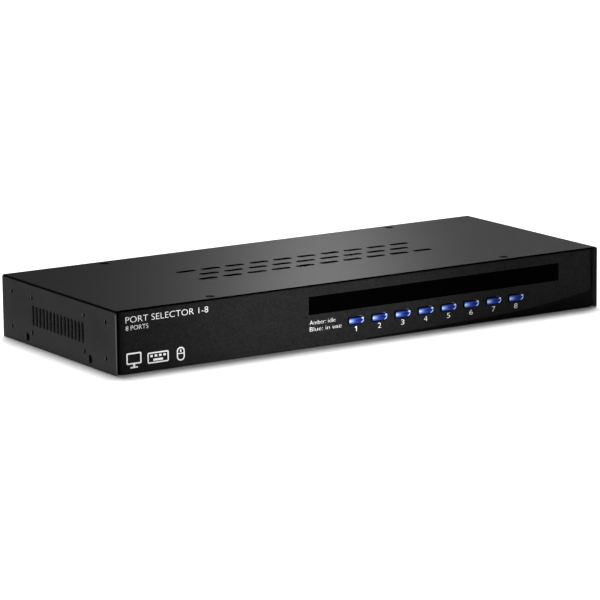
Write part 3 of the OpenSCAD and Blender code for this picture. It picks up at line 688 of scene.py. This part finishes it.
def front_marks():
    strip_left = low("label_strip").x
    first = middle("button_1")
    digits = []
    for i in range(2, PORTS + 1):
        place = middle(f"button_{i}")
        digits.append((str(i), place.x, place.z - DIGIT_DROP, DIGIT_HEIGHT, DIGIT_WIDTH, True))
    lettering("port_digits", digits, PANEL_FACE, -1, weight=THIN_STROKES)
    flagged_stem = ((0.0, 0.0), (0.55, 0.0), (0.55, 3.6), (0.05, 3.6),
                    (-0.95, 2.95), (-0.95, 2.4), (0.0, 2.8))
    one = [(first.x + x * MM, first.z - DIGIT_DROP + z * MM) for x, z in flagged_stem]
    printed("port_digit_1", [(one, None)], PANEL_FACE, -1)
    left = CASE_LOW.x + 8.2 * MM
    lettering("title_line", [("PORT SELECTOR 1-8", left, 34.9 * MM, 4.1 * MM, 64 * MM, False),
                             ("8 PORTS", left, 29.8 * MM, 3.0 * MM, 17.3 * MM, False)],
              PANEL_FACE, -1, weight=-0.016)
    top = first.z + 1.2 * MM
    status_left = strip_left + 0.6 * MM
    lettering("status_lines", [("Amber: idle", status_left, top, 2.9 * MM, 21 * MM, False),
                               ("Blue: in use", status_left, top - 4.6 * MM, 2.9 * MM, 26 * MM, False)],
              PANEL_FACE, -1, weight=THIN_STROKES)
    base = 9.0 * MM
    icons = (screen_icon(left + 5.8 * MM, base, 11.6 * MM)
             + keyboard_icon(left + 24.4 * MM, base, 16.4 * MM)
             + mouse_icon(left + 42 * MM, base, 10.8 * MM))
    printed("device_icons", icons, PANEL_FACE, -1)


def rear_marks():
    row = high("port_shells").z + 3.2 * MM
    pitch = (high("port_shells").x - low("port_shells").x - SHELL_WIDTH) / (PORTS - 1)
    start = low("port_shells").x + SHELL_WIDTH / 2
    digits = [(str(i + 1), start + i * pitch, row, DIGIT_HEIGHT, None, True) for i in range(PORTS)]
    lettering("rear_digits", digits, REAR_FACE, 1, weight=0.012)
    console, chain = middle("console_port_shell"), middle("chain_port_shell")
    shapes = screen_icon(console.x, row + 2.6 * MM, 6.4 * MM)
    shapes += screen_icon(chain.x - 3.6 * MM, row + 2.6 * MM, 6.0 * MM)
    shapes += screen_icon(chain.x + 3.6 * MM, row + 2.6 * MM, 6.0 * MM)
    board_side = low("keyboard_mouse_housing").x - 3.0 * MM
    shapes += mouse_icon(board_side, middle("mouse_socket").z, 5.2 * MM)
    usb = middle("usb_shield")
    shapes += keyboard_icon(usb.x, high("usb_shield").z + 3.4 * MM, 7.0 * MM)
    inlet = middle("power_inlet")
    ring_z = row + 2.0 * MM
    shapes.append((circle(inlet.x, ring_z, 1.9 * MM, 32), circle(inlet.x, ring_z, 1.5 * MM, 32)))
    shapes.append((circle(inlet.x, ring_z, 0.55 * MM, 20), None))
    printed("rear_icons", shapes, REAR_FACE, 1)


# ---- studio ----

FLOOR_SIZE = 14.0
FLOOR_GAP = 0.2 * MM
FLOOR_SUN = 4.9
WORLD_SEEN = 1.0
WORLD_DIFFUSE = 0.30
WORLD_GLOSSY = 0.05


def floor():
    mesh = bpy.data.meshes.new("floor")
    half = FLOOR_SIZE / 2
    z = CASE_LOW.z - FLOOR_GAP
    corners = [(-half, -half, z), (half, -half, z), (half, half, z), (-half, half, z)]
    mesh.from_pydata(corners, [], [(0, 1, 2, 3)])
    piece = bpy.data.objects.new("floor", mesh)
    bpy.context.scene.collection.objects.link(piece)
    material = bpy.data.materials.new("floor_paper")
    material.use_nodes = True
    tree = material.node_tree
    shader = tree.nodes["Principled BSDF"]
    shader.inputs["Base Color"].default_value = (0.9, 0.9, 0.9, 1)
    shader.inputs["Roughness"].default_value = 0.9
    shader.inputs["Specular IOR Level"].default_value = 0.0
    dark = tree.nodes.new("ShaderNodeBsdfDiffuse")
    dark.inputs["Color"].default_value = (0.03, 0.03, 0.03, 1)
    path = tree.nodes.new("ShaderNodeLightPath")
    mix = tree.nodes.new("ShaderNodeMixShader")
    tree.links.new(path.outputs["Is Glossy Ray"], mix.inputs["Fac"])
    tree.links.new(shader.outputs["BSDF"], mix.inputs[1])
    tree.links.new(dark.outputs["BSDF"], mix.inputs[2])
    tree.links.new(mix.outputs["Shader"], tree.nodes["Material Output"].inputs["Surface"])
    mesh.materials.append(material)
    return piece


def world():
    """White to the camera, dimmer as light, and dimmest in reflections, so that gloss black stays black."""
    made = bpy.data.worlds.new("studio")
    made.use_nodes = True
    tree = made.node_tree
    path = tree.nodes.new("ShaderNodeLightPath")
    steps = (("Is Glossy Ray", WORLD_DIFFUSE, WORLD_GLOSSY), ("Is Camera Ray", None, WORLD_SEEN))
    last = None
    for ray, plain, special in steps:
        level = tree.nodes.new("ShaderNodeMapRange")
        if last:
            tree.links.new(last, level.inputs["To Min"])
        else:
            level.inputs["To Min"].default_value = plain
        level.inputs["To Max"].default_value = special
        tree.links.new(path.outputs[ray], level.inputs["Value"])
        last = level.outputs["Result"]
    background = tree.nodes["Background"]
    tree.links.new(last, background.inputs["Strength"])
    background.inputs["Color"].default_value = (1, 1, 1, 1)
    bpy.context.scene.world = made


def aimed(name, data, place, target):
    light = bpy.data.objects.new(name, data)
    bpy.context.scene.collection.objects.link(light)
    light.location = place
    light.rotation_euler = (Vector(target) - Vector(place)).to_track_quat("-Z", "Y").to_euler()
    return light


def direction(azimuth, elevation):
    """Unit vector towards a place at that azimuth (0 in front, 90 at the right) and elevation."""
    a, e = math.radians(azimuth), math.radians(elevation)
    return Vector((math.sin(a) * math.cos(e), -math.cos(a) * math.cos(e), math.sin(e)))


def sun(name, azimuth, elevation, strength, spread):
    data = bpy.data.lights.new(name, "SUN")
    data.energy = strength
    data.angle = math.radians(spread)
    return aimed(name, data, CASE_MID + direction(azimuth, elevation) * 3, CASE_MID)


def softbox(name, azimuth, elevation, distance, size, power, target=None):
    data = bpy.data.lights.new(name, "AREA")
    data.shape = "RECTANGLE"
    data.size, data.size_y = size
    data.energy = power
    aim = Vector(target) if target else CASE_MID
    return aimed(name, data, aim + direction(azimuth, elevation) * distance, aim)


def link_light(light, things, state):
    """INCLUDE lights nothing but these things, and EXCLUDE lights everything but them."""
    group = bpy.data.collections.new(light.name + "_receivers")
    for thing in things:
        group.objects.link(thing)
    light.light_linking.receiver_collection = group
    for entry in group.collection_objects:
        entry.light_linking.link_state = state


def spot(name, azimuth, elevation, distance, cone, power, target):
    data = bpy.data.lights.new(name, "SPOT")
    data.energy = power
    data.spot_size = math.radians(cone)
    data.spot_blend = 1.0
    data.shadow_soft_size = 0.04
    return aimed(name, data, Vector(target) + direction(azimuth, elevation) * distance, target)


FRONT_NODES = ("top_cover", "front_panel", "accent_inlay", "label_strip", "cover_screws")


def lights(floor_piece):
    """Boxes in front and overhead leave the inside alone, so that the vents stay dark as in a shut case."""
    cover = frame["nodes"]["top_cover"]
    inside = [node for name, node in frame["nodes"].items() if name not in FRONT_NODES]
    link_light(sun("floor_sun", 149, 66, FLOOR_SUN, 32), [floor_piece], "INCLUDE")
    boxes = ((softbox("front_fill", -32, 14, 2.6, (2.2, 1.0), 11.5), inside),
             (softbox("rear_fill", 200, 24, 2.6, (2.2, 1.2), 26), [cover]),
             (softbox("left_fill", -90, 10, 2.6, (1.0, 0.5), 17), inside),
             (softbox("right_fill", 80, 16, 2.6, (1.6, 1.0), 9), inside),
             (softbox("overhead_fill", -60, 62, 2.6, (1.6, 1.2), 9.6), inside),
             (softbox("top_sheen", 148, 24, 1.2, (0.06, 0.25), 0.61, (0.035, 0.0, 0.044)), inside),
             (softbox("end_sheen", 140, 18, 1.3, (0.25, 0.25), 0.14, (0.20, 0.0, 0.044)), inside),
             (spot("front_glow", -20, 10, 2.0, 7.8, 188, (-0.042, -0.08, 0.022)), inside))
    for box, kept_off in boxes:
        box.visible_camera = False
        link_light(box, [floor_piece] + kept_off, "EXCLUDE")


# ---- camera ----

CAMERA_AZIMUTH = -32.38
CAMERA_ELEVATION = 11.40
CAMERA_ROLL = -0.67
CAMERA_LENS = 210.1
CAMERA_DISTANCE = 2.433
CAMERA_AIM = (-0.0360, -0.0506, 0.0276)


def camera():
    a, e, roll = (math.radians(v) for v in (CAMERA_AZIMUTH, CAMERA_ELEVATION, CAMERA_ROLL))
    back = direction(CAMERA_AZIMUTH, CAMERA_ELEVATION)
    right = Vector((math.cos(a), math.sin(a), 0))
    up = back.cross(right)
    turned_right = math.cos(roll) * right + math.sin(roll) * up
    turned_up = -math.sin(roll) * right + math.cos(roll) * up
    place = Vector(CAMERA_AIM) + back * CAMERA_DISTANCE
    data = bpy.data.cameras.new("camera")
    data.lens = CAMERA_LENS
    data.sensor_width = 36
    data.clip_end = 60
    made = bpy.data.objects.new("camera", data)
    bpy.context.scene.collection.objects.link(made)
    axes = Matrix((turned_right, turned_up, back)).transposed().to_4x4()
    made.matrix_world = Matrix.Translation(place) @ axes
    bpy.context.scene.camera = made


bpy.context.scene.view_settings.view_transform = "Standard"
dress_nodes()
for cad_node, edge in (("top_cover", 0.12 * MM), ("front_panel", 0.15 * MM), ("cover_screws", 0.08 * MM)):
    soften(cad_node, edge)
for number in range(1, PORTS + 1):
    button_cap(number)
front_marks()
rear_marks()
world()
lights(floor())
camera()
